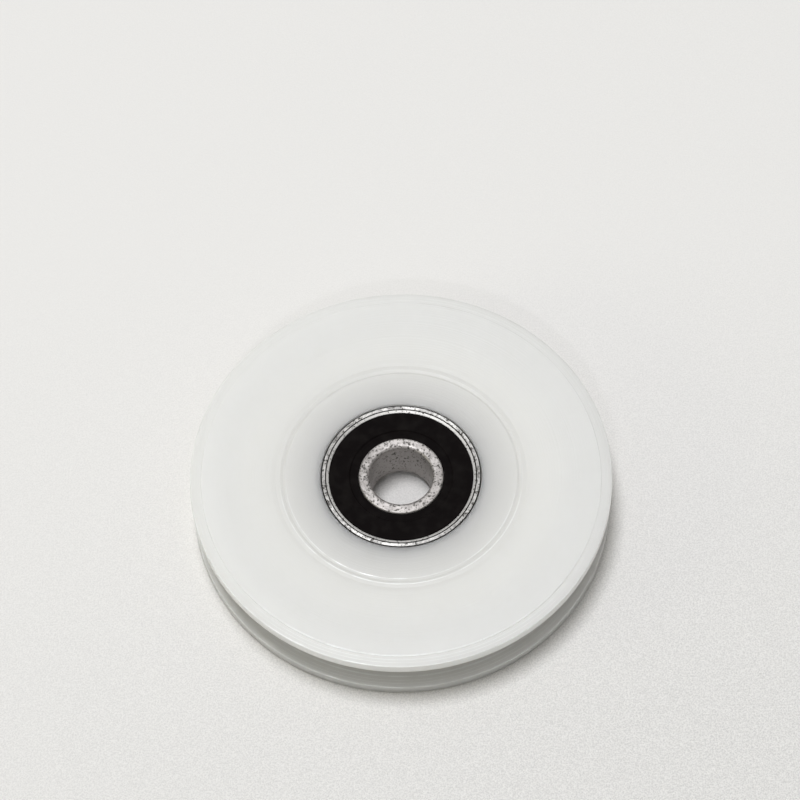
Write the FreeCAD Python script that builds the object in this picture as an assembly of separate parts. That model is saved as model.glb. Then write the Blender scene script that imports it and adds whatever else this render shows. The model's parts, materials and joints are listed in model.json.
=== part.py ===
import FreeCAD, Part
import math
import os

# U-groove pulley: a moulded plastic wheel on a sealed ball bearing.
# Millimetres, +Z along the axle, the origin at the middle of the bore.

# Wheel rim and groove
wheel_diameter = 80.0
wheel_width = 12.0
groove_mouth = 7.05
groove_floor_diameter = 59.4
groove_taper_degrees = 2.7
tip_corner_round = 0.4
tip_relief_depth = 0.2
tip_relief_band = 2.1
tip_relief_round = 0.12

# Wheel side faces: flat beside the rim, then slightly dished down to a shallow ring round the hub
side_flat_band = 3.0
side_dish = 0.5
side_bend_radius = 50.0
hub_ring_diameter = 44.6
hub_ring_slope_width = 1.4
hub_ring_slope_height = 0.15
hub_ring_rise_width = 0.7
hub_ring_rise_height = 0.2
hub_ring_round = 0.15

# Lip of the wheel that covers the edge of the bearing's outer ring
lip_reach = 0.5
lip_height = 0.25
lip_bevel = 0.45
lip_bevel_depth = 0.35
lip_round = 0.1

# Bearing rings
bore_diameter = 12.0
bearing_diameter = 32.0
outer_ring_bevel = 0.9
outer_ring_inner_bevel = 0.45
outer_ring_inner_bevel_depth = 0.25
inner_ring_bore_round = 0.6
inner_ring_land_round = 0.3
ring_edge_round = 0.15

# Balls and races, in the proportions usual for a bearing between a given bore and outside diameter
ball_count = 7
ball_per_ring_section = 0.594
race_clearance = 0.03
race_radius_per_ball = 0.515
race_depth_per_ball = 0.185

# Cage, two pressed halves with rivets between the balls
cage_sheet = 0.4
cage_width_per_ball = 0.37
pocket_clearance = 0.08
rivet_shank_diameter = 0.8
rivet_head_diameter = 1.4
rivet_head_height = 0.3
rivet_head_round = 0.15

# Seals, each a rubber disc on a steel stiffener
cage_to_stiffener_gap = 0.25
stiffener_sheet = 0.3
stiffener_collar = 0.35
stiffener_edge_gap = 0.25
seal_thickness = 0.9
seal_recess = 0.1
seal_bead_height = 0.5
seal_bead_reach = 0.4
seal_seat_depth = 0.8
seal_fit_clearance = 0.05
seal_land_depth = 1.05
seal_lip_clearance = 0.1
seal_lip_step = 0.25
seal_lip_width = 1.5
seal_lip_thickness = 0.4
seal_round = 0.12

# Radii and heights that follow from the sizes above
wheel_radius = wheel_diameter / 2
face_height = wheel_width / 2
bore_radius = bore_diameter / 2
bearing_radius = bearing_diameter / 2
pitch_radius = (bore_radius + bearing_radius) / 2
ball_diameter = ball_per_ring_section * (bearing_radius - bore_radius)
ball_radius = ball_diameter / 2
pocket_radius = ball_radius + pocket_clearance
race_radius = race_radius_per_ball * ball_diameter
race_depth = race_depth_per_ball * ball_diameter
inner_race_bottom = pitch_radius - ball_radius - race_clearance
outer_race_bottom = pitch_radius + ball_radius + race_clearance
inner_shoulder_radius = inner_race_bottom + race_depth
outer_shoulder_radius = outer_race_bottom - race_depth
stiffener_height = pocket_radius + cage_sheet + cage_to_stiffener_gap
seal_height = stiffener_height + stiffener_sheet
seal_top = seal_height + seal_thickness
ring_height = seal_top + seal_recess
seal_land_radius = inner_shoulder_radius - seal_land_depth
seal_lip_radius = seal_land_radius + seal_lip_clearance
seal_seat_radius = outer_shoulder_radius + seal_seat_depth
seal_undercut_radius = seal_seat_radius + seal_bead_reach
stiffener_outer_radius = outer_shoulder_radius - stiffener_edge_gap
stiffener_inner_radius = seal_lip_radius + seal_lip_width
cage_width = cage_width_per_ball * ball_diameter
cage_inner_radius = pitch_radius - cage_width / 2
cage_outer_radius = pitch_radius + cage_width / 2

UP = FreeCAD.Vector(0, 0, 1)
CENTRE = FreeCAD.Vector(0, 0, 0)


def corner_arc(before, corner, after):
    """Start, middle and end of the arc that rounds one corner of a section.

    The round takes at most half of the shorter side beside the corner. A sharp corner gives its
    own point three times.
    """
    here = FreeCAD.Vector(corner[0], 0, corner[1])
    back = FreeCAD.Vector(before[0], 0, before[1]) - here
    ahead = FreeCAD.Vector(after[0], 0, after[1]) - here
    if corner[2] <= 0:
        return here, here, here
    half_angle = back.getAngle(ahead) / 2
    reach = min(corner[2] / math.tan(half_angle), back.Length / 2, ahead.Length / 2)
    radius = reach * math.tan(half_angle)
    back.normalize()
    ahead.normalize()
    inward = back + ahead
    inward.normalize()
    middle = here + inward * (radius / math.sin(half_angle) - radius)
    return here + back * reach, middle, here + ahead * reach


def turned(corners):
    """Solid of revolution about Z, from the (radius, height, round) corners of its section."""
    arcs = []
    for index, corner in enumerate(corners):
        after = corners[(index + 1) % len(corners)]
        arcs.append(corner_arc(corners[index - 1], corner, after))
    edges = []
    for index, (start, middle, end) in enumerate(arcs):
        if start.distanceToPoint(end) > 1e-6:
            edges.append(Part.Arc(start, middle, end).toShape())
        next_start = arcs[(index + 1) % len(arcs)][0]
        if end.distanceToPoint(next_start) > 1e-6:
            edges.append(Part.makeLine(end, next_start))
    solid = Part.Face(Part.Wire(edges)).revolve(CENTRE, UP, 360)
    if solid.Volume < 0:
        solid.reverse()
    return solid


def both_sides(upper):
    """Corners of a section that is the same above and below the middle plane."""
    lower = [(radius, -height, edge_round) for radius, height, edge_round in reversed(upper)]
    return upper + lower


def flipped(shape):
    """Copy of a shape, mirrored in the middle plane."""
    return shape.mirror(CENTRE, UP)


def around_pitch_circle(index):
    """Place on the pitch circle, at a number of ball spacings from +X."""
    angle = 2 * math.pi * index / ball_count
    return FreeCAD.Vector(pitch_radius * math.cos(angle), pitch_radius * math.sin(angle), 0)


def pulley_wheel():
    """Plastic wheel with its groove, side faces, hub ring and the two lips that hold the bearing."""
    taper = math.tan(math.radians(groove_taper_degrees))
    floor_radius = groove_floor_diameter / 2
    mouth_half = groove_mouth / 2
    floor_half = mouth_half - (wheel_radius - floor_radius) * taper
    relief_radius = wheel_radius - tip_relief_band
    tip_height = face_height - tip_relief_depth
    lip_radius = bearing_radius - lip_reach
    lip_foot = ring_height - outer_ring_bevel + lip_reach
    lip_top = ring_height + lip_height
    ring_edge = hub_ring_diameter / 2
    ring_foot = ring_edge + hub_ring_slope_width
    dish_height = face_height - side_dish
    foot_height = dish_height - hub_ring_rise_height
    upper = [
        (bearing_radius, ring_height - outer_ring_bevel, 0),
        (lip_radius, lip_foot, 0),
        (lip_radius, lip_top - lip_bevel_depth, lip_round),
        (lip_radius + lip_bevel, lip_top, lip_round),
        (ring_edge, foot_height + hub_ring_slope_height, hub_ring_round),
        (ring_foot, foot_height, hub_ring_round),
        (ring_foot + hub_ring_rise_width, dish_height, hub_ring_round),
        (relief_radius - side_flat_band, face_height, side_bend_radius),
        (relief_radius, face_height, tip_relief_round),
        (relief_radius, tip_height, tip_relief_round),
        (wheel_radius, tip_height, tip_corner_round),
        (wheel_radius, mouth_half, tip_corner_round),
        (floor_radius, floor_half, floor_half),
    ]
    return turned(both_sides(upper))


def race_cutter(race_bottom, side):
    """Ring-shaped cutter of a race; side is 1 for the inner ring's and -1 for the outer ring's."""
    return Part.makeTorus(race_bottom + side * race_radius, race_radius)


def bearing_outer_ring():
    """Outer ring with its race and the undercut seats of the two seals."""
    undercut_top = seal_height + seal_bead_height
    bevel_foot = ring_height - outer_ring_inner_bevel_depth
    upper = [
        (outer_shoulder_radius, seal_height, ring_edge_round),
        (seal_undercut_radius, seal_height, 0),
        (seal_undercut_radius, undercut_top, 0),
        (seal_seat_radius, undercut_top, ring_edge_round),
        (seal_seat_radius, bevel_foot, ring_edge_round),
        (seal_seat_radius + outer_ring_inner_bevel, ring_height, ring_edge_round),
        (bearing_radius - outer_ring_bevel, ring_height, ring_edge_round),
        (bearing_radius, ring_height - outer_ring_bevel, ring_edge_round),
    ]
    return turned(both_sides(upper)).cut(race_cutter(outer_race_bottom, -1))


def bearing_inner_ring():
    """Inner ring with the bore, its race and the lands that the seal lips run on."""
    shoulder_height = stiffener_height - stiffener_sheet
    upper = [
        (bore_radius, ring_height, inner_ring_bore_round),
        (seal_land_radius, ring_height, inner_ring_land_round),
        (seal_land_radius, shoulder_height, ring_edge_round),
        (inner_shoulder_radius, shoulder_height, ring_edge_round),
    ]
    return turned(both_sides(upper)).cut(race_cutter(inner_race_bottom, 1))


def bearing_ball(index):
    """One ball on the pitch circle."""
    return Part.makeSphere(ball_radius, around_pitch_circle(index))


def ring_blank(height):
    """Flat ring as wide as the cage, from the middle plane up to a height."""
    outside = Part.makeCylinder(cage_outer_radius, height)
    return outside.cut(Part.makeCylinder(cage_inner_radius, height))


def cage_half():
    """Upper half of the cage: a flat strip that domes over each ball, with a rivet hole between."""
    dome_radius = pocket_radius + cage_sheet
    places = [around_pitch_circle(index) for index in range(ball_count)]
    domes = [Part.makeSphere(dome_radius, place) for place in places]
    hollows = [Part.makeSphere(pocket_radius, place) for place in places]
    holes = []
    for index in range(ball_count):
        place = around_pitch_circle(index + 0.5)
        holes.append(Part.makeCylinder(rivet_shank_diameter / 2, cage_sheet, place))
    strip = ring_blank(cage_sheet).fuse(domes)
    return strip.common(ring_blank(dome_radius)).cut(hollows + holes).removeSplitter()


def cage_rivets():
    """The rivets, each with a head on both sides of the cage."""
    shank_radius = rivet_shank_diameter / 2
    head_radius = rivet_head_diameter / 2
    head_top = cage_sheet + rivet_head_height
    rivet = turned(both_sides([
        (0, head_top, 0),
        (head_radius, head_top, rivet_head_round),
        (head_radius, cage_sheet, 0),
        (shank_radius, cage_sheet, 0),
    ]))
    return Part.makeCompound(
        [rivet.translated(around_pitch_circle(index + 0.5)) for index in range(ball_count)]
    )


def seal():
    """Upper rubber seal: a disc with a bead in the outer ring, a lip and a slot for its stiffener."""
    bead_top = seal_height + seal_bead_height - seal_fit_clearance
    disc_radius = seal_seat_radius - seal_fit_clearance
    bead_radius = seal_undercut_radius - seal_fit_clearance
    collar_top = seal_height + stiffener_collar
    collar_inner_radius = stiffener_outer_radius - stiffener_sheet
    lip_end_radius = seal_lip_radius + seal_lip_width
    lip_top = seal_top - seal_lip_step
    lip_foot = lip_top - seal_lip_thickness
    return turned([
        (disc_radius, seal_top, seal_round),
        (disc_radius, bead_top, seal_round),
        (bead_radius, bead_top, seal_round),
        (bead_radius, seal_height, 0),
        (stiffener_outer_radius, seal_height, 0),
        (stiffener_outer_radius, collar_top, 0),
        (collar_inner_radius, collar_top, 0),
        (collar_inner_radius, seal_height, 0),
        (lip_end_radius, seal_height, 0),
        (lip_end_radius - seal_lip_thickness, lip_foot, seal_round),
        (seal_lip_radius, lip_foot, seal_round),
        (seal_lip_radius, lip_top, seal_round),
        (lip_end_radius, lip_top, seal_round),
        (lip_end_radius + seal_lip_step, seal_top, seal_round),
    ])


def seal_stiffener():
    """Upper steel washer, with the collar at its edge that is moulded into the seal."""
    collar_top = seal_height + stiffener_collar
    collar_inner_radius = stiffener_outer_radius - stiffener_sheet
    return turned([
        (stiffener_inner_radius, stiffener_height, 0),
        (stiffener_outer_radius, stiffener_height, 0),
        (stiffener_outer_radius, collar_top, 0),
        (collar_inner_radius, collar_top, 0),
        (collar_inner_radius, seal_height, 0),
        (stiffener_inner_radius, seal_height, 0),
    ])


def all_pieces():
    """Every piece of the pulley by name."""
    pieces = {
        "pulley_wheel": pulley_wheel(),
        "bearing_outer_ring": bearing_outer_ring(),
        "bearing_inner_ring": bearing_inner_ring(),
        "cage_half_upper": cage_half(),
        "cage_half_lower": flipped(cage_half()),
        "cage_rivets": cage_rivets(),
        "seal_upper": seal(),
        "seal_lower": flipped(seal()),
        "seal_stiffener_upper": seal_stiffener(),
        "seal_stiffener_lower": flipped(seal_stiffener()),
    }
    for index in range(ball_count):
        pieces["bearing_ball_" + str(index + 1)] = bearing_ball(index)
    return pieces


os.makedirs("parts", exist_ok=True)
for name, piece in all_pieces().items():
    piece.exportStep(os.path.join("parts", name + ".step"))
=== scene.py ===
import json
import logging
import math
from abc import ABC, abstractmethod
from dataclasses import dataclass
from enum import Enum
from functools import cached_property

import bpy
import numpy as np
from mathutils import Euler, Matrix, Vector

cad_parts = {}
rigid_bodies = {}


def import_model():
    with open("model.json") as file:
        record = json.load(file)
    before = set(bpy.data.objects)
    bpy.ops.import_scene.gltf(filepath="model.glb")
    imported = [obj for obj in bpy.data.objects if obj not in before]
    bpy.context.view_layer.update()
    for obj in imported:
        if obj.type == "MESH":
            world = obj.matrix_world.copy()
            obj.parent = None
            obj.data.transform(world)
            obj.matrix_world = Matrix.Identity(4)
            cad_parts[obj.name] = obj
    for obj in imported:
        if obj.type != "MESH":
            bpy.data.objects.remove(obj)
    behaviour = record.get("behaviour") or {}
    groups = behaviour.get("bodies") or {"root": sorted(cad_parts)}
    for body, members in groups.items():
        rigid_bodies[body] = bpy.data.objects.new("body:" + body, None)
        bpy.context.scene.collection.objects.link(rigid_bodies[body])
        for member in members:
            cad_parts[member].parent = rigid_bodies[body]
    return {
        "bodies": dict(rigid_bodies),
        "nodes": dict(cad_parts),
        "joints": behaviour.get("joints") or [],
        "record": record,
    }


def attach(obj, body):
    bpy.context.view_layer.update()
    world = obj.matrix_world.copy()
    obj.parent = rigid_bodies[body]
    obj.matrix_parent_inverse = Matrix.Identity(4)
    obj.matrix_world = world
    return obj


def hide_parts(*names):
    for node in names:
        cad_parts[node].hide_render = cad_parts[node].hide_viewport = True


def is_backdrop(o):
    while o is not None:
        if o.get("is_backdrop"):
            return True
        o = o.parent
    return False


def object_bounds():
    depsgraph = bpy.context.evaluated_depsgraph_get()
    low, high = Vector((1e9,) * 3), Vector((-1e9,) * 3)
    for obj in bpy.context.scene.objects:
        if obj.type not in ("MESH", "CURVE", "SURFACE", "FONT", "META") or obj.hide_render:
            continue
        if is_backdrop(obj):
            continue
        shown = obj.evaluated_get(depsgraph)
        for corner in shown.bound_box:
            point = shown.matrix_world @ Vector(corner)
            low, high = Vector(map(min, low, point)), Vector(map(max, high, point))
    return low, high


MM = 0.001
Material = bpy.types.Material
Node = bpy.types.Node
Socket = bpy.types.NodeSocket
Span = tuple[float, float]
Tone = tuple[float, float, float]
Place = tuple[float, float, float]
Inputs = dict[str | int, Socket | float | tuple[float, ...]]

BACKGROUND: Tone = (0.8, 0.797, 0.785)

log = logging.getLogger("pulley")


class Slot(str, Enum):
    """Material slots of the record."""

    WHEEL = "wheel_plastic"
    RINGS = "ring_steel"
    SEALS = "seal_rubber"
    BALLS = "ball_steel"
    SHEET = "sheet_steel"


class Body(str, Enum):
    """Bodies of the record that the turned pieces ride on."""

    WHEEL = "wheel"
    INNER_RING = "inner_ring"


@dataclass(frozen=True)
class Corner:
    """One corner of a turned section, in millimetres.

    Args:
        r: distance from the axis.
        z: height above the middle plane.
        blend: radius that rounds the corner, 0 for a sharp one.
    """

    r: float
    z: float
    blend: float = 0.0

    def flipped(self) -> "Corner":
        """Returns the same corner below the middle plane."""
        return Corner(self.r, -self.z, self.blend)


@dataclass(frozen=True)
class Race:
    """A ball groove in one ring's wall, in millimetres.

    Args:
        centre: radius of the circle that the groove's own centre runs on.
        tube: radius of the groove.
    """

    centre: float
    tube: float


class Section:
    """A closed section that is turned about the Z axis, in millimetres.

    A round turns by ARC_STEP from point to point, and one below SMALL_ROUND by SMALL_ARC_STEP. It
    takes up SIDE_SHARE of a side at most. On a side longer than HELD_SIDE, a point at EDGE_HOLD
    from each end keeps the shading of the round off the flat.
    """

    ARC_STEP = math.radians(6.0)
    SMALL_ARC_STEP = math.radians(15.0)
    SMALL_ROUND = 1.0
    LEAST_STEPS = 3
    SIDE_SHARE = 0.49
    RACE_POINTS = 24
    EDGE_HOLD = 0.04
    HELD_SIDE = 5 * EDGE_HOLD

    def __init__(self, corners: list[Corner], race: Race | None = None) -> None:
        """Stores the section.

        Args:
            corners: all its corners, in order.
            race: ball groove between the two middle corners.
        """
        self.corners = corners
        self.half = len(corners) // 2
        self.race = race

    @classmethod
    def mirrored(cls, upper: list[Corner], race: Race | None = None) -> "Section":
        """Makes a section that is the same above and below the middle plane.

        Args:
            upper: corners above the middle plane.
            race: ball groove between the last of them and its mirror image.

        Returns:
            The whole section.
        """
        return cls(upper + cls.flipped(upper), race)

    @staticmethod
    def flipped(corners: list[Corner]) -> list[Corner]:
        """Returns the corners below the middle plane, in the order that closes the section."""
        return [corner.flipped() for corner in reversed(corners)]

    def _blend(self, before: Vector, corner: Corner, after: Vector) -> list[Vector]:
        """Rounds one corner.

        Args:
            before: the corner ahead of it.
            corner: the corner itself.
            after: the corner behind it.

        Returns:
            The points that stand for the corner.
        """
        here = Vector((corner.r, corner.z))
        back, on = before - here, after - here
        if corner.blend <= 0.0:
            return [here]
        between = back.angle(on)
        reach = corner.blend / math.tan(between / 2)
        reach = min(reach, self.SIDE_SHARE * back.length, self.SIDE_SHARE * on.length)
        radius = reach * math.tan(between / 2)
        inward = (back.normalized() + on.normalized()).normalized()
        middle = here + inward * (radius / math.sin(between / 2))
        start = here + back.normalized() * reach - middle
        turn = math.pi - between
        sign = 1.0 if back.x * on.y - back.y * on.x > 0 else -1.0
        step = self.SMALL_ARC_STEP if corner.blend < self.SMALL_ROUND else self.ARC_STEP
        count = max(self.LEAST_STEPS, math.ceil(turn / step))
        return [
            middle + Matrix.Rotation(-sign * turn * part / count, 2) @ start
            for part in range(count + 1)
        ]

    def _race_points(self) -> list[Vector]:
        """Works out the ball groove.

        Returns:
            Its points, from the top edge to the bottom edge.
        """
        wall = self.corners[self.half - 1].r
        centre, tube = self.race.centre, self.race.tube
        opening = math.acos(abs(wall - centre) / tube)
        side = 1.0 if wall > centre else -1.0
        return [
            Vector((centre + side * tube * math.cos(angle), tube * math.sin(angle)))
            for angle in np.linspace(opening, -opening, self.RACE_POINTS)
        ]

    def points(self) -> list[Vector]:
        """Works out the whole closed outline.

        Returns:
            Its points, with a holding point beside each corner.
        """
        flat = [Vector((corner.r, corner.z)) for corner in self.corners]
        runs: list[list[Vector]] = []
        for index, corner in enumerate(self.corners):
            if self.race and index == self.half:
                runs.append(self._race_points())
            before = flat[index - 1]
            after = flat[(index + 1) % len(flat)]
            runs.append(self._blend(before, corner, after))
        outline: list[Vector] = []
        for index, run in enumerate(runs):
            following = runs[(index + 1) % len(runs)]
            outline.extend(run)
            gap = following[0] - run[-1]
            if gap.length > self.HELD_SIDE:
                step = gap.normalized() * self.EDGE_HOLD
                outline.append(run[-1] + step)
                outline.append(following[0] - step)
        return outline


@dataclass(frozen=True)
class Pattern:
    """A noise pattern.

    Args:
        scale: how fine it is, in 1/m.
        detail: number of finer layers.
        rough: strength of the finer layers.
        span: noise values that count as low and as high.
    """

    scale: float
    detail: float = 2.0
    rough: float = 0.5
    span: Span = (0.0, 1.0)


@dataclass(frozen=True)
class Relief:
    """A fine relief of a surface.

    Args:
        depth: its height, in metres.
        strength: how strongly it shows, 0 to 1.
    """

    depth: float
    strength: float


class Graph:
    """Short calls for the nodes of one material."""

    def __init__(self, tree: bpy.types.NodeTree) -> None:
        """Stores the node tree."""
        self.tree = tree

    def feed(self, node: Node, inputs: Inputs) -> None:
        """Gives a node its inputs.

        Args:
            node: the node.
            inputs: a socket to link or a constant to set, by the input's name or number.
        """
        for key, value in inputs.items():
            if isinstance(value, Socket):
                self.tree.links.new(value, node.inputs[key])
            else:
                node.inputs[key].default_value = value

    def add(self, kind: str, inputs: Inputs | None = None, **settings: object) -> Node:
        """Adds a node.

        Args:
            kind: Blender's type name of the node.
            inputs: what its inputs get.
            settings: properties to set on it.

        Returns:
            The new node.
        """
        node = self.tree.nodes.new(kind)
        for key, value in settings.items():
            setattr(node, key, value)
        self.feed(node, inputs or {})
        return node

    def maths(self, operation: str, first: Socket, second: Socket | float) -> Socket:
        """Returns two values joined with one operation."""
        return self.add("ShaderNodeMath", {0: first, 1: second}, operation=operation).outputs[0]

    def spread(
        self, value: Socket, span: Span, to: Span = (0.0, 1.0), easing: str = "LINEAR"
    ) -> Socket:
        """Maps one span of values to another, with both ends held.

        Args:
            value: the value to map.
            span: start and end of the span it comes from.
            to: what it becomes at that start and at that end.
            easing: how the value runs between them.

        Returns:
            The mapped value.
        """
        names = ("Value", "From Min", "From Max", "To Min", "To Max")
        inputs = dict(zip(names, (value, *span, *to)))
        node = self.add("ShaderNodeMapRange", inputs, clamp=True, interpolation_type=easing)
        return node.outputs["Result"]

    @cached_property
    def place(self) -> Socket:
        """Returns the point on the object, in metres."""
        return self.add("ShaderNodeTexCoord").outputs["Object"]

    def parts(self, place: Socket) -> dict[str, Socket]:
        """Returns the X, Y and Z of a point."""
        node = self.add("ShaderNodeSeparateXYZ", {0: place})
        return {part.name: part for part in node.outputs}

    @cached_property
    def radius(self) -> Socket:
        """Works out how far the point on the object is from the Z axis.

        Returns:
            The distance, in metres.
        """
        parts = self.parts(self.place)
        across = self.maths("MULTIPLY", parts["X"], parts["X"])
        along = self.maths("MULTIPLY", parts["Y"], parts["Y"])
        return self.maths("SQRT", self.maths("ADD", across, along), 0.0)

    def noise(self, pattern: Pattern) -> Socket:
        """Returns a cloudy pattern, about 0 to 1."""
        inputs = {"Vector": self.place, "Scale": pattern.scale, "Detail": pattern.detail}
        return self.add("ShaderNodeTexNoise", inputs | {"Roughness": pattern.rough}).outputs["Fac"]

    def rings(self, pattern: Pattern) -> Socket:
        """Adds uneven turning marks round the axis.

        Args:
            pattern: what the marks are like.

        Returns:
            The pattern, about 0 to 1.
        """
        across = self.maths("MULTIPLY", self.radius, pattern.scale)
        inputs = {"W": across, "Scale": 1.0, "Detail": pattern.detail}
        return self.add("ShaderNodeTexNoise", inputs, noise_dimensions="1D").outputs["Fac"]

    def band(self, value: Socket, span: Span, fade: float) -> Socket:
        """Picks out one span of values.

        Args:
            value: the value to look at.
            span: where the span starts and ends.
            fade: how far it fades out on both sides.

        Returns:
            A socket that is 1 inside the span and 0 outside it.
        """
        start, end = span
        rise = self.spread(value, (start - fade, start))
        fall = self.spread(value, (end, end + fade), (1.0, 0.0))
        return self.maths("MULTIPLY", rise, fall)

    def tint(self, factor: Socket, low: Tone | Socket, high: Tone | Socket) -> Socket:
        """Mixes two colours, each a linear colour or the socket that carries one.

        Args:
            factor: 0 for the low colour, 1 for the high one.
            low: the low colour.
            high: the high colour.

        Returns:
            The colour.
        """
        low, high = ((*end, 1.0) if isinstance(end, tuple) else end for end in (low, high))
        inputs = {"Factor": factor, 6: low, 7: high}
        return self.add("ShaderNodeMix", inputs, data_type="RGBA").outputs[2]

    def looked_at(self) -> Socket:
        """Tells the rays that show a background from those that light the object.

        Returns:
            A socket that is 1 for what is seen directly, in a reflection or through glass.
        """
        rays = self.add("ShaderNodeLightPath").outputs
        mirrored = self.maths("MAXIMUM", rays["Is Camera Ray"], rays["Is Glossy Ray"])
        return self.maths("MAXIMUM", mirrored, rays["Is Transmission Ray"])

    def bump(self, height: Socket, relief: Relief) -> Socket:
        """Returns the normal that a height pattern gives."""
        inputs = {"Distance": relief.depth, "Strength": relief.strength, "Height": height}
        return self.add("ShaderNodeBump", inputs).outputs["Normal"]


@dataclass(frozen=True)
class Finish(ABC):
    """A surface finish made of procedural nodes.

    Args:
        name: the material's name.
    """

    name: str

    def material(self) -> Material:
        """Builds the material.

        Returns:
            The new material, ready for a mesh.
        """
        made = bpy.data.materials.new(self.name)
        made.use_nodes = True
        made.node_tree.nodes.clear()
        graph = Graph(made.node_tree)
        shader = graph.add("ShaderNodeBsdfPrincipled", self.inputs(graph))
        surface = self.surface(graph, shader.outputs["BSDF"])
        graph.add("ShaderNodeOutputMaterial", {"Surface": surface})
        return made

    @abstractmethod
    def inputs(self, graph: Graph) -> Inputs:
        """Works out the shader's inputs.

        Args:
            graph: the material's nodes.

        Returns:
            What each input gets.
        """

    def surface(self, graph: Graph, shaded: Socket) -> Socket:
        """Returns what the material shows, which is the shader's own result."""
        return shaded


@dataclass(frozen=True)
class TurnedEdge:
    """An edge left by the turning tool, with a painted highlight and a clear shine that are both
    strongest on its near side.

    Args:
        span: radii where it starts and ends, in metres.
        wear_and_glint: where along Y its painted highlight goes from faint to full, in metres.
    """

    span: Span
    wear_and_glint: Span


@dataclass(frozen=True)
class NylonFinish(Finish):
    """Natural white nylon, turned, slightly translucent. Lengths are in metres.

    Args:
        tone: linear colour of the bulk.
        bearing_shade: linear colour of the painted shade close to the bearing, where the metal takes
            the light away.
        rim: linear colour of the painted shade on the band at the rim.
        painted_edge_glint: linear colour of the painted highlight on the turned edges.
        bearing_shade_reach: radii between which the painted shade near the bearing fades.
        rim_shade_reach: radii between which the colour changes to the painted shade of the rim.
        edges: its turned edges, from the bearing outwards.
        edge_fade: how far they fade out on both sides.
        plain: share of the painted highlight and the shine on their far side.
        breaks: pattern that breaks them up.
        unbroken: share of the painted highlight and the shine left by it.
        patches: pattern of the cloudier patches.
        cloud: how much darker they are, 0 to 1.
        marks: turning marks.
        grain: frosty grain of the face.
        grain_share: its height beside that of the turning marks.
        lumps: small lumps on the edges.
        lump_share: their height beside that of the turning marks.
        relief: depth of the turning marks.
        gloss: roughness, from the low to the high grain.
        edge_gloss: share of it left on the edges.
        coat: share of clear shine on the edges.
        coat_gloss: roughness of that shine.
        coat_index: refractive index of that shine.
        bulk: share of the light that goes into the bulk.
        depth: how far light travels in it.
        travel: shares of that depth for red, green and blue light.
        index: refractive index of the plastic.
    """

    tone: Tone = (0.758, 0.744, 0.712)
    bearing_shade: Tone = (0.62, 0.605, 0.58)
    rim: Tone = (0.72, 0.708, 0.675)
    painted_edge_glint: Tone = (0.93, 0.93, 0.9)
    bearing_shade_reach: Span = (0.0152, 0.0272)
    rim_shade_reach: Span = (0.037, 0.0395)
    edges: tuple[TurnedEdge, ...] = (
        TurnedEdge((0.0152, 0.0155), (0.012, -0.012)),
        TurnedEdge((0.02184, 0.02202), (0.0, -0.018)),
        TurnedEdge((0.0229, 0.02312), (0.0, -0.018)),
        TurnedEdge((0.0376, 0.0379), (-0.026, -0.0355)),
        TurnedEdge((0.03847, 0.03853), (-0.026, -0.0355)),
        TurnedEdge((0.03907, 0.03913), (-0.026, -0.0355)),
        TurnedEdge((0.03979, 0.03997), (0.04, -0.01)),
    )
    edge_fade: float = 0.00002
    plain: float = 0.12
    breaks: Pattern = Pattern(320.0, span=(0.38, 0.62))
    unbroken: float = 0.25
    patches: Pattern = Pattern(160.0, 4.0, span=(0.35, 0.68))
    cloud: float = 0.05
    marks: Pattern = Pattern(2400.0, 3.0)
    grain: Pattern = Pattern(2600.0, span=(0.3, 0.7))
    grain_share: float = 0.35
    lumps: Pattern = Pattern(380.0, 1.0)
    lump_share: float = 3.0
    relief: Relief = Relief(0.00004, 0.5)
    gloss: Span = (0.44, 0.58)
    edge_gloss: float = 0.35
    coat: float = 0.5
    coat_gloss: float = 0.16
    coat_index: float = 1.9
    bulk: float = 0.85
    depth: float = 0.012
    travel: Tone = (1.0, 1.0, 0.96)
    index: float = 1.53

    def _edge_glint_mask(self, graph: Graph) -> Socket:
        """Finds the turned edges, which carry the painted highlight and the shine.

        Args:
            graph: the material's nodes.

        Returns:
            Up to 1 on the turned edges, more on their near side, and broken up along them.
        """
        along = graph.parts(graph.place)["Y"]
        mask: Socket | None = None
        for edge in self.edges:
            line = graph.band(graph.radius, edge.span, self.edge_fade)
            # Painted highlight and shine, strongest on the near side.
            wear_and_glint = graph.spread(along, edge.wear_and_glint, (self.plain, 1.0))
            share = graph.maths("MULTIPLY", line, wear_and_glint)
            mask = graph.maths("ADD", mask, share) if mask else share
        breaks = graph.noise(self.breaks)
        broken = graph.spread(breaks, self.breaks.span, (self.unbroken, 1.0))
        return graph.maths("MULTIPLY", mask, broken)

    def _colour(self, graph: Graph, edge: Socket) -> Socket:
        """Mixes the colour.

        Args:
            graph: the material's nodes.
            edge: 1 on the turned edges, where the highlight is painted.

        Returns:
            The colour, with painted shade close to the bearing and at the rim, and a painted highlight
            on the edges.
        """
        patches = graph.spread(graph.noise(self.patches), self.patches.span, (-self.cloud, 0.0))
        # Painted shade: darker close to the bearing, where the metal takes the light away.
        out = graph.spread(graph.radius, self.bearing_shade_reach, easing="SMOOTHSTEP")
        face = graph.tint(graph.maths("ADD", out, patches), self.bearing_shade, self.tone)
        # Painted shade: the band at the rim is darker.
        rim_shaded = graph.tint(graph.spread(graph.radius, self.rim_shade_reach), face, self.rim)
        # Painted highlight on the turned edges.
        return graph.tint(edge, rim_shaded, self.painted_edge_glint)

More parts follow.
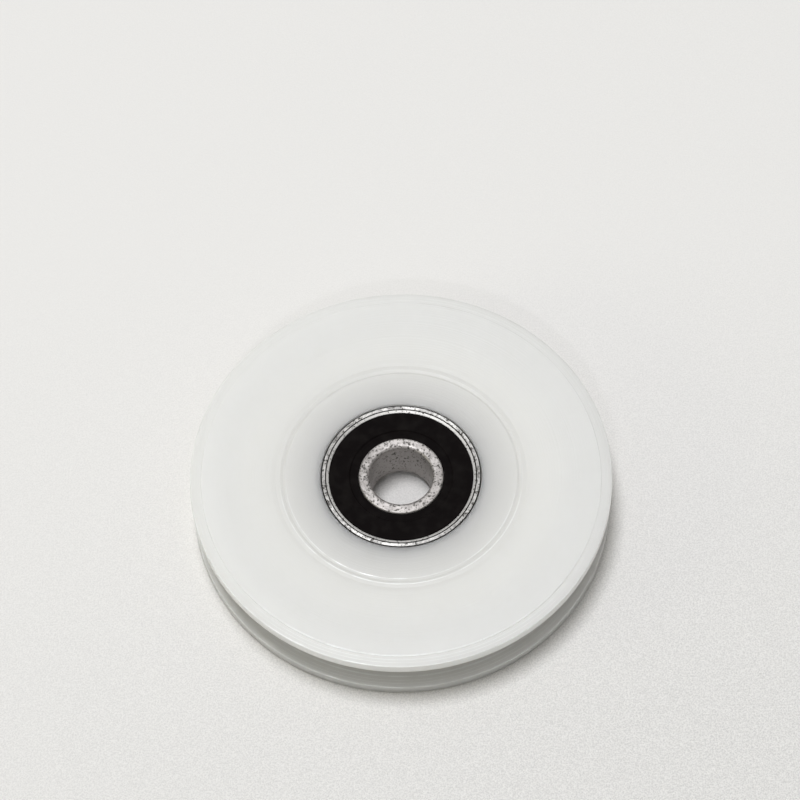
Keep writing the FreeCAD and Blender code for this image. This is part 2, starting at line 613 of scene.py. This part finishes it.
    def inputs(self, graph: Graph) -> Inputs:
        """Works out the shader's inputs.

        Args:
            graph: the material's nodes.

        Returns:
            What each input gets.
        """
        edge = self._edge_glint_mask(graph)
        grain = graph.noise(self.grain)
        rough = graph.spread(grain, self.grain.span, self.gloss)
        shine = graph.spread(edge, (0.0, 1.0), (1.0, self.edge_gloss))
        marks = graph.rings(self.marks)
        lumps = graph.maths("MULTIPLY", graph.noise(self.lumps), edge)
        frost = graph.maths("ADD", graph.maths("MULTIPLY", grain, self.grain_share), marks)
        height = graph.maths("ADD", frost, graph.maths("MULTIPLY", lumps, self.lump_share))
        return {
            "Base Color": self._colour(graph, edge),
            "Roughness": graph.maths("MULTIPLY", rough, shine),
            "Normal": graph.bump(height, self.relief),
            "Coat Weight": graph.maths("MULTIPLY", edge, self.coat),
            "Coat Roughness": self.coat_gloss,
            "Coat IOR": self.coat_index,
            "Subsurface Weight": self.bulk,
            "Subsurface Radius": self.travel,
            "Subsurface Scale": self.depth,
            "IOR": self.index,
        }


@dataclass(frozen=True)
class GroundSteelFinish(Finish):
    """Ground bearing steel with turning marks, specks of dirt and painted shade in its recesses.
    Lengths are in metres.

    Args:
        tone: linear colour of the clean metal.
        dull: linear colour of its duller patches.
        dirt: linear colour of the specks.
        recess_shade_tone: linear colour of the painted shade in a gap or a corner.
        wear_and_glint: span of radius with most of the patches and specks.
        worn_fade: how far it fades out on both sides.
        patches: pattern of the duller patches.
        patch_lift: how much rarer they are off the worn span, 0 to 1.
        specks: pattern of the specks.
        speck_lift: how much rarer they are off the worn span, 0 to 1.
        recess_shade: spans of radius where the shade is painted.
        recess_shade_fade: how far they fade out on both sides.
        marks: turning marks.
        relief: depth of the marks.
        gloss: roughness, from the low to the high marks.
        stretch: how far the marks draw out a reflection, 0 to 1.
        stretch_turn: its direction, as a share of a full turn.
    """

    tone: Tone = (0.475, 0.464, 0.447)
    dull: Tone = (0.24, 0.233, 0.226)
    dirt: Tone = (0.06, 0.056, 0.052)
    recess_shade_tone: Tone = (0.014, 0.013, 0.012)
    wear_and_glint: Span = (0.01432, 0.01492)
    worn_fade: float = 0.00012
    patches: Pattern = Pattern(900.0, 3.0, 0.6, (0.4, 0.6))
    patch_lift: float = 0.16
    specks: Pattern = Pattern(2300.0, 2.0, 0.6, (0.39, 0.47))
    speck_lift: float = 0.05
    recess_shade: tuple[Span, ...] = ()
    recess_shade_fade: float = 0.00004
    marks: Pattern = Pattern(9000.0, 4.0, span=(0.3, 0.7))
    relief: Relief = Relief(0.00002, 0.4)
    gloss: Span = (0.42, 0.58)
    stretch: float = 0.6
    stretch_turn: float = 0.25

    @staticmethod
    def _spots(graph: Graph, wear_and_glint: Socket, pattern: Pattern, lift: float) -> Socket:
        """Scatters spots, most of them on the worn span.

        Args:
            graph: the material's nodes.
            wear_and_glint: 1 on the worn span.
            pattern: pattern of the spots.
            lift: how much rarer they are off the worn span.

        Returns:
            0 in a spot and 1 outside it.
        """
        lifted = graph.maths("ADD", graph.noise(pattern), lift)
        lowered = graph.maths("SUBTRACT", lifted, graph.maths("MULTIPLY", wear_and_glint, lift))
        return graph.spread(lowered, pattern.span)

    def inputs(self, graph: Graph) -> Inputs:
        """Works out the shader's inputs.

        Args:
            graph: the material's nodes.

        Returns:
            What each input gets.
        """
        wear_and_glint = graph.band(graph.radius, self.wear_and_glint, self.worn_fade)
        bright = self._spots(graph, wear_and_glint, self.patches, self.patch_lift)
        clean = self._spots(graph, wear_and_glint, self.specks, self.speck_lift)
        colour = graph.tint(clean, self.dirt, graph.tint(bright, self.dull, self.tone))
        # Painted shade over each given span of radius.
        for span in self.recess_shade:
            recess_shade = graph.band(graph.radius, span, self.recess_shade_fade)
            colour = graph.tint(recess_shade, colour, self.recess_shade_tone)
        marks = graph.rings(self.marks)
        round_axis = graph.add("ShaderNodeTangent", direction_type="RADIAL", axis="Z")
        return {
            "Base Color": colour,
            "Roughness": graph.spread(marks, self.marks.span, self.gloss),
            "Normal": graph.bump(marks, self.relief),
            "Tangent": round_axis.outputs["Tangent"],
            "Anisotropic": self.stretch,
            "Anisotropic Rotation": self.stretch_turn,
            "Metallic": 1.0,
        }


@dataclass(frozen=True)
class SealRubberFinish(Finish):
    """Near-black moulded rubber.

    Args:
        tone: linear colour.
        dust: linear colour of the lighter film on it.
        film: pattern of the film.
        grain: moulded grain.
        relief: depth of the grain.
        gloss: roughness.
        shine: strength of its reflections.
    """

    tone: Tone = (0.0045, 0.0034, 0.0034)
    dust: Tone = (0.0095, 0.008, 0.0075)
    film: Pattern = Pattern(420.0, 4.0, span=(0.45, 0.75))
    grain: Pattern = Pattern(5200.0)
    relief: Relief = Relief(0.00003, 0.3)
    gloss: float = 0.6
    shine: float = 0.02

    def inputs(self, graph: Graph) -> Inputs:
        """Works out the shader's inputs.

        Args:
            graph: the material's nodes.

        Returns:
            What each input gets.
        """
        film = graph.spread(graph.noise(self.film), self.film.span)
        return {
            "Base Color": graph.tint(film, self.tone, self.dust),
            "Normal": graph.bump(graph.noise(self.grain), self.relief),
            "Roughness": self.gloss,
            "Specular IOR Level": self.shine,
        }


@dataclass(frozen=True)
class PlainSteelFinish(Finish):
    """Clean steel of balls or pressed sheet.

    Args:
        tone: linear colour.
        marks: pattern of its marks.
        relief: depth of the marks.
        gloss: roughness, from the low to the high marks.
    """

    tone: Tone = (0.6, 0.6, 0.6)
    marks: Pattern = Pattern(1800.0, 3.0, span=(0.35, 0.7))
    relief: Relief = Relief(0.00001, 0.15)
    gloss: Span = (0.08, 0.15)

    def inputs(self, graph: Graph) -> Inputs:
        """Works out the shader's inputs.

        Args:
            graph: the material's nodes.

        Returns:
            What each input gets.
        """
        marks = graph.noise(self.marks)
        return {
            "Base Color": (*self.tone, 1.0),
            "Roughness": graph.spread(marks, self.marks.span, self.gloss),
            "Normal": graph.bump(marks, self.relief),
            "Metallic": 1.0,
        }


@dataclass(frozen=True)
class FloorFinish(Finish):
    """Pale matt floor, faintly grained, which far out runs into the background. Lengths are in metres.

    Args:
        hollow: linear colour of the grain's hollows.
        crest: linear colour of the grain's crests.
        weave: pattern of the grain.
        relief: depth of the grain.
        towards: where along Y the grain goes from faint to full.
        towards_share: share of the grain on the far side.
        aside: where along X the grain goes from faint to full.
        aside_share: share of the grain on the left side.
        far_reach: radii between which the floor runs out.
        gloss: roughness.
        shine: strength of its reflections.
    """

    hollow: Tone = (0.7, 0.681, 0.66)
    crest: Tone = (0.93, 0.905, 0.877)
    weave: Pattern = Pattern(3300.0, 3.0, 0.65, (0.36, 0.64))
    relief: Relief = Relief(0.0005, 0.6)
    towards: Span = (0.06, -0.05)
    towards_share: float = 0.15
    aside: Span = (-0.08, 0.06)
    aside_share: float = 0.55
    far_reach: Span = (0.3, 1.4)
    gloss: float = 0.9
    shine: float = 0.2

    def inputs(self, graph: Graph) -> Inputs:
        """Works out the shader's inputs.

        Args:
            graph: the material's nodes.

        Returns:
            What each input gets.
        """
        parts = graph.parts(graph.place)
        towards = graph.spread(parts["Y"], self.towards, (self.towards_share, 1.0))
        aside = graph.spread(parts["X"], self.aside, (self.aside_share, 1.0))
        near = graph.maths("MULTIPLY", towards, aside)
        weave = graph.noise(self.weave)
        middle = 0.5
        swing = graph.spread(weave, self.weave.span, (-middle, middle))
        level = graph.maths("ADD", graph.maths("MULTIPLY", swing, near), middle)
        return {
            "Base Color": graph.tint(level, self.hollow, self.crest),
            "Normal": graph.bump(graph.maths("MULTIPLY", weave, near), self.relief),
            "Roughness": self.gloss,
            "Specular IOR Level": self.shine,
        }

    def surface(self, graph: Graph, shaded: Socket) -> Socket:
        """Blends the far floor into the background where the camera looks at it.

        Args:
            graph: the material's nodes.
            shaded: the shader's own result.

        Returns:
            What the material shows.
        """
        glow = graph.add("ShaderNodeEmission", {"Color": (*BACKGROUND, 1.0)})
        away = graph.spread(graph.radius, self.far_reach, easing="SMOOTHSTEP")
        share = graph.maths("MULTIPLY", away, graph.looked_at())
        inputs = {0: share, 1: shaded, 2: glow.outputs["Emission"]}
        return graph.add("ShaderNodeMixShader", inputs).outputs["Shader"]


@dataclass(frozen=True)
class TurnedPiece:
    """A piece of the object that is turned about the Z axis and stands for one CAD node.

    Args:
        node: the CAD node it stands for.
        body: the body it rides on.
        slot: the record's material slot, which is not used.
        section: its section.
        steps: number of faces round the axis.
    """

    node: str
    body: Body
    slot: Slot
    section: Section
    steps: int = 320

    def _mesh(self) -> bpy.types.Mesh:
        """Turns the section about the axis.

        Returns:
            The closed mesh, with its faces outward.
        """
        outline = np.array([(point.x, point.y) for point in self.section.points()]) * MM
        turn = np.linspace(0.0, 2 * math.pi, self.steps, endpoint=False)
        count = len(outline)
        ring = np.stack((np.cos(turn), np.sin(turn)), axis=1)
        places = np.empty((self.steps, count, 3))
        places[:, :, :2] = ring[:, None, :] * outline[None, :, :1]
        places[:, :, 2] = outline[None, :, 1]
        along = np.arange(count)
        following = (along + 1) % count
        around = np.arange(self.steps)[:, None]
        here = around * count
        there = (around + 1) % self.steps * count
        faces = np.stack(
            (here + along, there + along, there + following, here + following), axis=2
        ).reshape(-1, 4)
        mesh = bpy.data.meshes.new(f"{self.node}_turned")
        mesh.from_pydata(places.reshape(-1, 3).tolist(), [], faces.tolist())
        mesh.validate()
        self._face_outward(mesh)
        mesh.shade_smooth()
        return mesh

    @staticmethod
    def _face_outward(mesh: bpy.types.Mesh) -> None:
        """Turns the faces round if the closed mesh is inside out.

        Args:
            mesh: a closed mesh.
        """
        mesh.calc_loop_triangles()
        places = np.empty(len(mesh.vertices) * 3)
        mesh.vertices.foreach_get("co", places)
        places = places.reshape(-1, 3)
        corners = np.empty(len(mesh.loop_triangles) * 3, dtype=np.int32)
        mesh.loop_triangles.foreach_get("vertices", corners)
        first, second, third = (places[corners.reshape(-1, 3)[:, i]] for i in range(3))
        volume = np.einsum("ij,ij->i", first, np.cross(second, third)).sum()
        if volume < 0:
            mesh.flip_normals()

    def build(self, material: Material) -> None:
        """Makes the piece and hands it to the frame.

        Args:
            material: its finish.
        """
        mesh = self._mesh()
        mesh.materials.append(material)
        piece = bpy.data.objects.new(f"{self.node}_turned", mesh)
        bpy.context.scene.collection.objects.link(piece)
        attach(piece, self.body.value)
        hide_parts(self.node)
        log.info("%s: turned, %d faces", self.node, len(mesh.polygons))


@dataclass(frozen=True)
class PulleyWheel:
    """The nylon wheel with its rope groove, in millimetres.

    Args:
        radius: outer radius.
        half_width: half of the width over the side bands.
        seat_radius: radius of the bearing seat, a hair clear of the ring.
        seat_height: half of the seat's height.
        lip_radius: inner radius of the lip that is rolled over the bearing.
        lip_heights: heights of the lip's upright edge, from foot to top.
        lip_round: radius that rounds that edge.
        hub: corners of the hub's face, from the lip over the shallow ring to the dish.
        flat_radius: radius where the dish meets the flat side band.
        dish_bend: radius of the bend there.
        step_radius: radius of the step down to the rim band.
        step_depth: depth of that step.
        step_round: radius that rounds it.
        marks: radii of the fine tool marks on the rim band.
        mark_half: half of a mark's width.
        mark_depth: depth of a mark.
        tip_round: radius that rounds the flange's edges.
        groove_radius: radius of the groove's floor.
        groove_half_mouth: half of the groove's width at the rim.
        groove_half_floor: half of its width at the floor, which is fully round.
        steps: number of faces round the axis.
    """

    radius: float = 40.0
    half_width: float = 6.0
    seat_radius: float = 16.02
    seat_height: float = 4.12
    lip_radius: float = 15.25
    lip_heights: Span = (4.89, 5.0)
    lip_round: float = 0.04
    hub: tuple[Corner, ...] = (
        Corner(15.5, 5.22, 0.08),
        Corner(21.95, 5.45, 0.1),
        Corner(22.4, 5.32, 0.12),
        Corner(22.98, 5.47, 0.12),
        Corner(23.85, 5.42, 0.25),
        Corner(24.6, 5.51, 0.3),
    )
    flat_radius: float = 34.9
    dish_bend: float = 50.0
    step_radius: float = 37.9
    step_depth: float = 0.2
    step_round: float = 0.12
    marks: Span = (38.5, 39.1)
    mark_half: float = 0.04
    mark_depth: float = 0.03
    tip_round: float = 0.22
    groove_radius: float = 29.7
    groove_half_mouth: float = 3.525
    groove_half_floor: float = 3.039
    steps: int = 400

    def _tool_mark(self, radius: float, top: float) -> list[Corner]:
        """Returns the corners of a fine mark left by the turning tool."""
        side, depth = self.mark_half, self.mark_depth
        return [Corner(radius - side, top), Corner(radius, top - depth), Corner(radius + side, top)]

    def section(self) -> Section:
        """Works out the section, from the bearing seat to the groove's floor.

        Returns:
            The section.
        """
        top = self.half_width
        band = top - self.step_depth
        lip_foot, lip_top = self.lip_heights
        corners = [
            Corner(self.seat_radius, self.seat_height),
            Corner(self.lip_radius, lip_foot),
            Corner(self.lip_radius, lip_top, self.lip_round),
            *self.hub,
            Corner(self.flat_radius, top, self.dish_bend),
            Corner(self.step_radius, top, self.step_round),
            Corner(self.step_radius, band, self.step_round),
            *(corner for mark in self.marks for corner in self._tool_mark(mark, band)),
            Corner(self.radius, band, self.tip_round),
            Corner(self.radius, self.groove_half_mouth, self.tip_round),
            Corner(self.groove_radius, self.groove_half_floor, self.groove_half_floor),
        ]
        return Section.mirrored(corners)

    def build(self, nylon: Material) -> None:
        """Makes the wheel with its finish."""
        wheel = TurnedPiece("pulley_wheel", Body.WHEEL, Slot.WHEEL, self.section(), self.steps)
        wheel.build(nylon)


@dataclass(frozen=True)
class RubberSeal:
    """The upper seal: a disc with a bead, a slot for its stiffener and a lip, in millimetres.

    Args:
        foot: height of its lower face, a hair clear of the stiffener.
        top: height of its upper face.
        radius: radius of the disc.
        bead_radius: radius of the bead in the ring's undercut.
        bead_top: height of the bead.
        slot: inner and outer radius of the slot for the stiffener's collar.
        slot_top: height of the slot.
        lip_radius: inner radius of the lip.
        lip_root: radius of the lip's root.
        lip_heights: heights of the lip's lower and upper face.
        root_slopes: how far the faces slope at the root, below the lip and above it.
        edge_round: radius that rounds its edges.
    """

    foot: float = 4.02
    top: float = 4.9
    radius: float = 13.631
    bead_radius: float = 14.031
    bead_top: float = 4.45
    slot: Span = (12.351, 12.651)
    slot_top: float = 4.37
    lip_radius: float = 8.149
    lip_root: float = 9.649
    lip_heights: Span = (4.25, 4.65)
    root_slopes: Span = (0.4, 0.25)
    edge_round: float = 0.12

    def corners(self) -> list[Corner]:
        """Works out the section.

        Returns:
            All its corners, in order.
        """
        edge = self.edge_round
        slot_inner, slot_outer = self.slot
        low, high = self.lip_heights
        below, above = self.root_slopes
        return [
            Corner(self.radius, self.top, edge),
            Corner(self.radius, self.bead_top, edge),
            Corner(self.bead_radius, self.bead_top, edge),
            Corner(self.bead_radius, self.foot),
            Corner(slot_outer, self.foot),
            Corner(slot_outer, self.slot_top),
            Corner(slot_inner, self.slot_top),
            Corner(slot_inner, self.foot),
            Corner(self.lip_root, self.foot),
            Corner(self.lip_root - below, low, edge),
            Corner(self.lip_radius, low, edge),
            Corner(self.lip_radius, high, edge),
            Corner(self.lip_root, high, edge),
            Corner(self.lip_root + above, self.top, edge),
        ]


@dataclass(frozen=True)
class BallBearing:
    """The sealed ball bearing in the wheel, in millimetres.

    Args:
        bore_radius: radius of the bore.
        outer_radius: radius of the outer ring.
        half_width: half of its width.
        edge_round: radius that rounds most edges of the rings.
        outer_race: ball groove of the outer ring.
        outer_shoulder: radius of the outer ring's shoulder.
        outer_bevel: bevel of its outer edge.
        hairline: corners of the hairline groove in its face.
        seat_radius: radius of the seal's seat.
        seat_bevel: bevel over the seat.
        undercut_radius: radius of the seat's undercut.
        undercut: heights of the undercut's foot and top.
        inner_race: ball groove of the inner ring.
        inner_shoulder: radius of the inner ring's shoulder.
        shoulder_height: height of that shoulder.
        land_radius: radius of the land that the seal's lip runs on.
        land_round: radius that rounds the land's upper edge.
        bore_round: radius that rounds the bore's edge.
        seal: the upper seal, which the lower one mirrors.
    """

    bore_radius: float = 6.0
    outer_radius: float = 16.0
    half_width: float = 5.0
    edge_round: float = 0.15
    outer_race: Race = Race(10.941, 3.059)
    outer_shoulder: float = 12.901
    outer_bevel: float = 0.9
    hairline: tuple[Corner, ...] = (
        Corner(14.45, 5.0, 0.02),
        Corner(14.33, 4.88, 0.02),
        Corner(14.2, 4.98, 0.02),
    )
    seat_radius: float = 13.701
    seat_bevel: float = 0.25
    undercut_radius: float = 14.101
    undercut: Span = (4.0, 4.5)
    inner_race: Race = Race(11.059, 3.059)
    inner_shoulder: float = 9.099
    shoulder_height: float = 3.4
    land_radius: float = 8.049
    land_round: float = 0.3
    bore_round: float = 0.6
    seal: RubberSeal = RubberSeal()

    def outer_ring(self) -> Section:
        """Works out the outer ring.

        Returns:
            Its section.
        """
        top, edge = self.half_width, self.edge_round
        foot, crown = self.undercut
        corners = [
            Corner(self.outer_radius, top - self.outer_bevel, edge),
            Corner(self.outer_radius - self.outer_bevel, top, edge),
            *self.hairline,
            Corner(self.seat_radius, top - self.seat_bevel, edge),
            Corner(self.seat_radius, crown, edge),
            Corner(self.undercut_radius, crown),
            Corner(self.undercut_radius, foot),
            Corner(self.outer_shoulder, foot, edge),
        ]
        return Section.mirrored(corners, self.outer_race)

    def inner_ring(self) -> Section:
        """Works out the inner ring.

        Returns:
            Its section.
        """
        corners = [
            Corner(self.bore_radius, self.half_width, self.bore_round),
            Corner(self.land_radius, self.half_width, self.land_round),
            Corner(self.land_radius, self.shoulder_height, self.edge_round),
            Corner(self.inner_shoulder, self.shoulder_height, self.edge_round),
        ]
        return Section.mirrored(corners, self.inner_race)

    def build(self, outer_steel: Material, inner_steel: Material, rubber: Material) -> None:
        """Makes the two rings and the two seals.

        Args:
            outer_steel: finish of the outer ring.
            inner_steel: finish of the inner ring.
            rubber: finish of the seals.
        """
        outer, inner = self.outer_ring(), self.inner_ring()
        TurnedPiece("bearing_outer_ring", Body.WHEEL, Slot.RINGS, outer).build(outer_steel)
        TurnedPiece("bearing_inner_ring", Body.INNER_RING, Slot.RINGS, inner).build(inner_steel)
        corners = self.seal.corners()
        upper, lower = Section(corners), Section(Section.flipped(corners))
        TurnedPiece("seal_upper", Body.WHEEL, Slot.SEALS, upper).build(rubber)
        TurnedPiece("seal_lower", Body.WHEEL, Slot.SEALS, lower).build(rubber)


@dataclass(frozen=True)
class InnerWorks:
    """Balls, cage and seal stiffeners, kept as the CAD made them.

    Args:
        balls: start of the balls' names.
        sheet: starts of the names of the pressed pieces.
    """

    balls: str = "bearing_ball"
    sheet: tuple[str, ...] = ("cage_", "seal_stiffener")

    def dress(
        self,
        nodes: dict[str, bpy.types.Object],
        ball_steel: Material,
        sheet_steel: Material,
    ) -> None:
        """Gives each node its finish.

        Args:
            nodes: the CAD nodes.
            ball_steel: finish of the balls.
            sheet_steel: finish of the pressed pieces.
        """
        for name, node in nodes.items():
            if name.startswith(self.balls):
                material, slot = ball_steel, Slot.BALLS
            elif name.startswith(self.sheet):
                material, slot = sheet_steel, Slot.SHEET
            else:
                continue
            node.data.materials.clear()
            node.data.materials.append(material)
            node.data.shade_smooth()
            log.info("%s: kept, %d faces", node.name, len(node.data.polygons))


@dataclass(frozen=True)
class PhotoCamera:
    """The camera at the photo's view. Angles are in degrees.

    Args:
        lens: focal length in millimetres on a 36 mm sensor.
        target_height: height of the wheel's top face, in metres.
        distance: from the middle of that face, in metres.
        elevation: above the floor.
        lift: how far it is tipped up from that point.
        swing: how far it is turned aside from that point.
        roll: how far it is rolled about its line of sight.
        nearest: distance from which it sees, in metres.
    """

    lens: float = 118.8
    target_height: float = 0.006
    distance: float = 0.5
    elevation: float = 61.8
    lift: float = 1.58
    swing: float = 0.02
    roll: float = -2.05
    nearest: float = 0.01

    def build(self) -> None:
        """Makes the camera and sets it."""
        rise = math.radians(self.elevation)
        back = Vector((0.0, -math.cos(rise), math.sin(rise)))
        stand = Vector((0.0, 0.0, self.target_height)) + back * self.distance
        data = bpy.data.cameras.new("photo_camera")
        data.lens = self.lens
        data.clip_start = self.nearest
        camera = bpy.data.objects.new("photo_camera", data)
        aim = (-back).to_track_quat("-Z", "Y").to_matrix()
        tip = Euler((math.radians(self.lift), math.radians(self.swing), 0.0)).to_matrix()
        turn = Matrix.Rotation(math.radians(self.roll), 3, "Z")
        camera.matrix_world = Matrix.Translation(stand) @ (aim @ turn @ tip).to_4x4()
        bpy.context.scene.collection.objects.link(camera)
        bpy.context.scene.camera = camera


@dataclass(frozen=True)
class Lamp:
    """A round area light that points at the object.

    Args:
        name: its name.
        size: its width, in metres.
        power: its power, in watts.
        place: where it hangs, in metres.
        tint: its linear colour.
    """

    name: str
    size: float
    power: float
    place: Place
    tint: Tone

    def build(self) -> None:
        """Makes the light."""
        data = bpy.data.lights.new(self.name, "AREA")
        data.shape = "DISK"
        data.size = self.size
        data.energy = self.power
        data.color = self.tint
        light = bpy.data.objects.new(self.name, data)
        light.location = self.place
        light.rotation_euler = (-Vector(self.place)).to_track_quat("-Z", "Y").to_euler()
        bpy.context.scene.collection.objects.link(light)


@dataclass(frozen=True)
class Studio:
    """Pale floor and soft light.

    Args:
        floor_size: side of the floor, in metres.
        floor_steps: number of faces along that side.
        floor_height: height of the floor, in metres.
        light_tint: linear colour of the light from above.
        horizon_tint: linear colour of the light from the horizon and the side.
        lamps: a large soft one, a small one that glints on the near edges, a weak one on the left.
        sky: strength of the even light straight above.
        horizon: share of that strength at the horizon, on the left and on the right.
        shade_side: share of the horizon's light that comes from the near side.
        rise_span: a direction's Z, between which the horizon's light turns into the sky's.
        aside_span: its X, between which the left share turns into the right one.
        towards_span: its Y, between which the near side turns into the rest.
    """

    floor_size: float = 6.0
    floor_steps: int = 48
    floor_height: float = -0.006
    light_tint: Tone = (0.98, 1.0, 1.035)
    horizon_tint: Tone = (1.0, 1.0, 0.74)
    lamps: tuple[Lamp, ...] = (
        Lamp("key_light", 0.85, 42.0, (-0.26, 0.3, 2.5), light_tint),
        Lamp("edge_light", 0.05, 1.0, (-0.15, -0.85, 0.95), light_tint),
        Lamp("side_light", 0.6, 1.7, (-1.25, -0.4, 0.4), horizon_tint),
    )
    sky: float = 0.36
    horizon: Span = (0.95, 0.5)
    shade_side: float = 0.3
    rise_span: Span = (0.0, 0.9)
    aside_span: Span = (-0.8, 0.8)
    towards_span: Span = (-0.85, -0.2)

    def _floor(self) -> None:
        """Makes the floor as a fine grid."""
        count = self.floor_steps + 1
        line = np.linspace(-self.floor_size / 2, self.floor_size / 2, count)
        across, along = np.meshgrid(line, line, indexing="ij")
        places = np.stack((across, along, np.full_like(across, self.floor_height)), axis=2)
        index = np.arange(count**2).reshape(count, count)
        faces = np.stack(
            (index[:-1, :-1], index[1:, :-1], index[1:, 1:], index[:-1, 1:]), axis=2
        ).reshape(-1, 4)
        mesh = bpy.data.meshes.new("floor")
        mesh.from_pydata(places.reshape(-1, 3).tolist(), [], faces.tolist())
        mesh.materials.append(FloorFinish("floor_matt").material())
        floor = bpy.data.objects.new("floor", mesh)
        bpy.context.scene.collection.objects.link(floor)
        floor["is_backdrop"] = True

    def _sky(self) -> None:
        """Makes the even light, dimmer towards the horizon, and the plain background."""
        world = bpy.data.worlds.new("studio_air")
        world.use_nodes = True
        graph = Graph(world.node_tree)
        shade = world.node_tree.nodes["Background"]
        parts = graph.parts(graph.add("ShaderNodeTexCoord").outputs["Generated"])
        rise = graph.spread(parts["Z"], self.rise_span)
        fall = graph.spread(parts["Z"], self.rise_span, (self.sky, 0.0))
        aside = graph.spread(parts["X"], self.aside_span, self.horizon)
        towards = graph.spread(parts["Y"], self.towards_span, (self.shade_side, 1.0))
        low = graph.maths("MULTIPLY", graph.maths("MULTIPLY", aside, towards), fall)
        strength = graph.maths("ADD", graph.maths("MULTIPLY", rise, self.sky), low)
        colour = graph.tint(rise, self.horizon_tint, self.light_tint)
        seen = graph.looked_at()
        unseen = graph.maths("MULTIPLY", graph.maths("SUBTRACT", seen, 1.0), -1.0)
        shown = graph.maths("ADD", graph.maths("MULTIPLY", strength, unseen), seen)
        graph.feed(shade, {"Strength": shown, "Color": graph.tint(seen, colour, BACKGROUND)})
        bpy.context.scene.world = world

    def build(self) -> None:
        """Makes the floor, the lights and the air."""
        self._floor()
        for lamp in self.lamps:
            lamp.build()
        self._sky()
        bpy.context.scene.view_settings.view_transform = "Standard"


class Scene:
    """The whole picture."""

    def __init__(self) -> None:
        """Loads the frame and keeps its box."""
        self.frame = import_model()
        self.cad_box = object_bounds()

    def build(self) -> None:
        """Makes every piece, the studio and the camera."""
        PulleyWheel().build(NylonFinish("nylon_natural").material())
        # Painted shade in the hairline groove and in the gap under the wheel's lip.
        outer = GroundSteelFinish("outer_ring_ground", recess_shade=((0.01423, 0.0144), (0.01502, 0.0158)))
        inner = GroundSteelFinish(
            "inner_ring_ground",
            tone=(0.37, 0.349, 0.336),
            dull=(0.25, 0.234, 0.225),
            stretch=0.3,
            wear_and_glint=(0.0062, 0.0078),
        )
        rubber = SealRubberFinish("seal_rubber_black")
        BallBearing().build(outer.material(), inner.material(), rubber.material())
        balls = PlainSteelFinish("ball_steel_bright")
        sheet = PlainSteelFinish(
            "sheet_steel_pressed",
            tone=(0.5, 0.5, 0.49),
            marks=Pattern(900.0, 3.0, span=(0.35, 0.7)),
            gloss=(0.224, 0.42),
        )
        InnerWorks().dress(self.frame["nodes"], balls.material(), sheet.material())
        Studio().build()
        PhotoCamera().build()
        log.info("studio and camera made")


def main() -> None:
    """Builds the picture."""
    logging.basicConfig(level=logging.INFO, format="%(name)s: %(message)s")
    scene = Scene()
    scene.build()


if __name__ == "__main__":
    main()
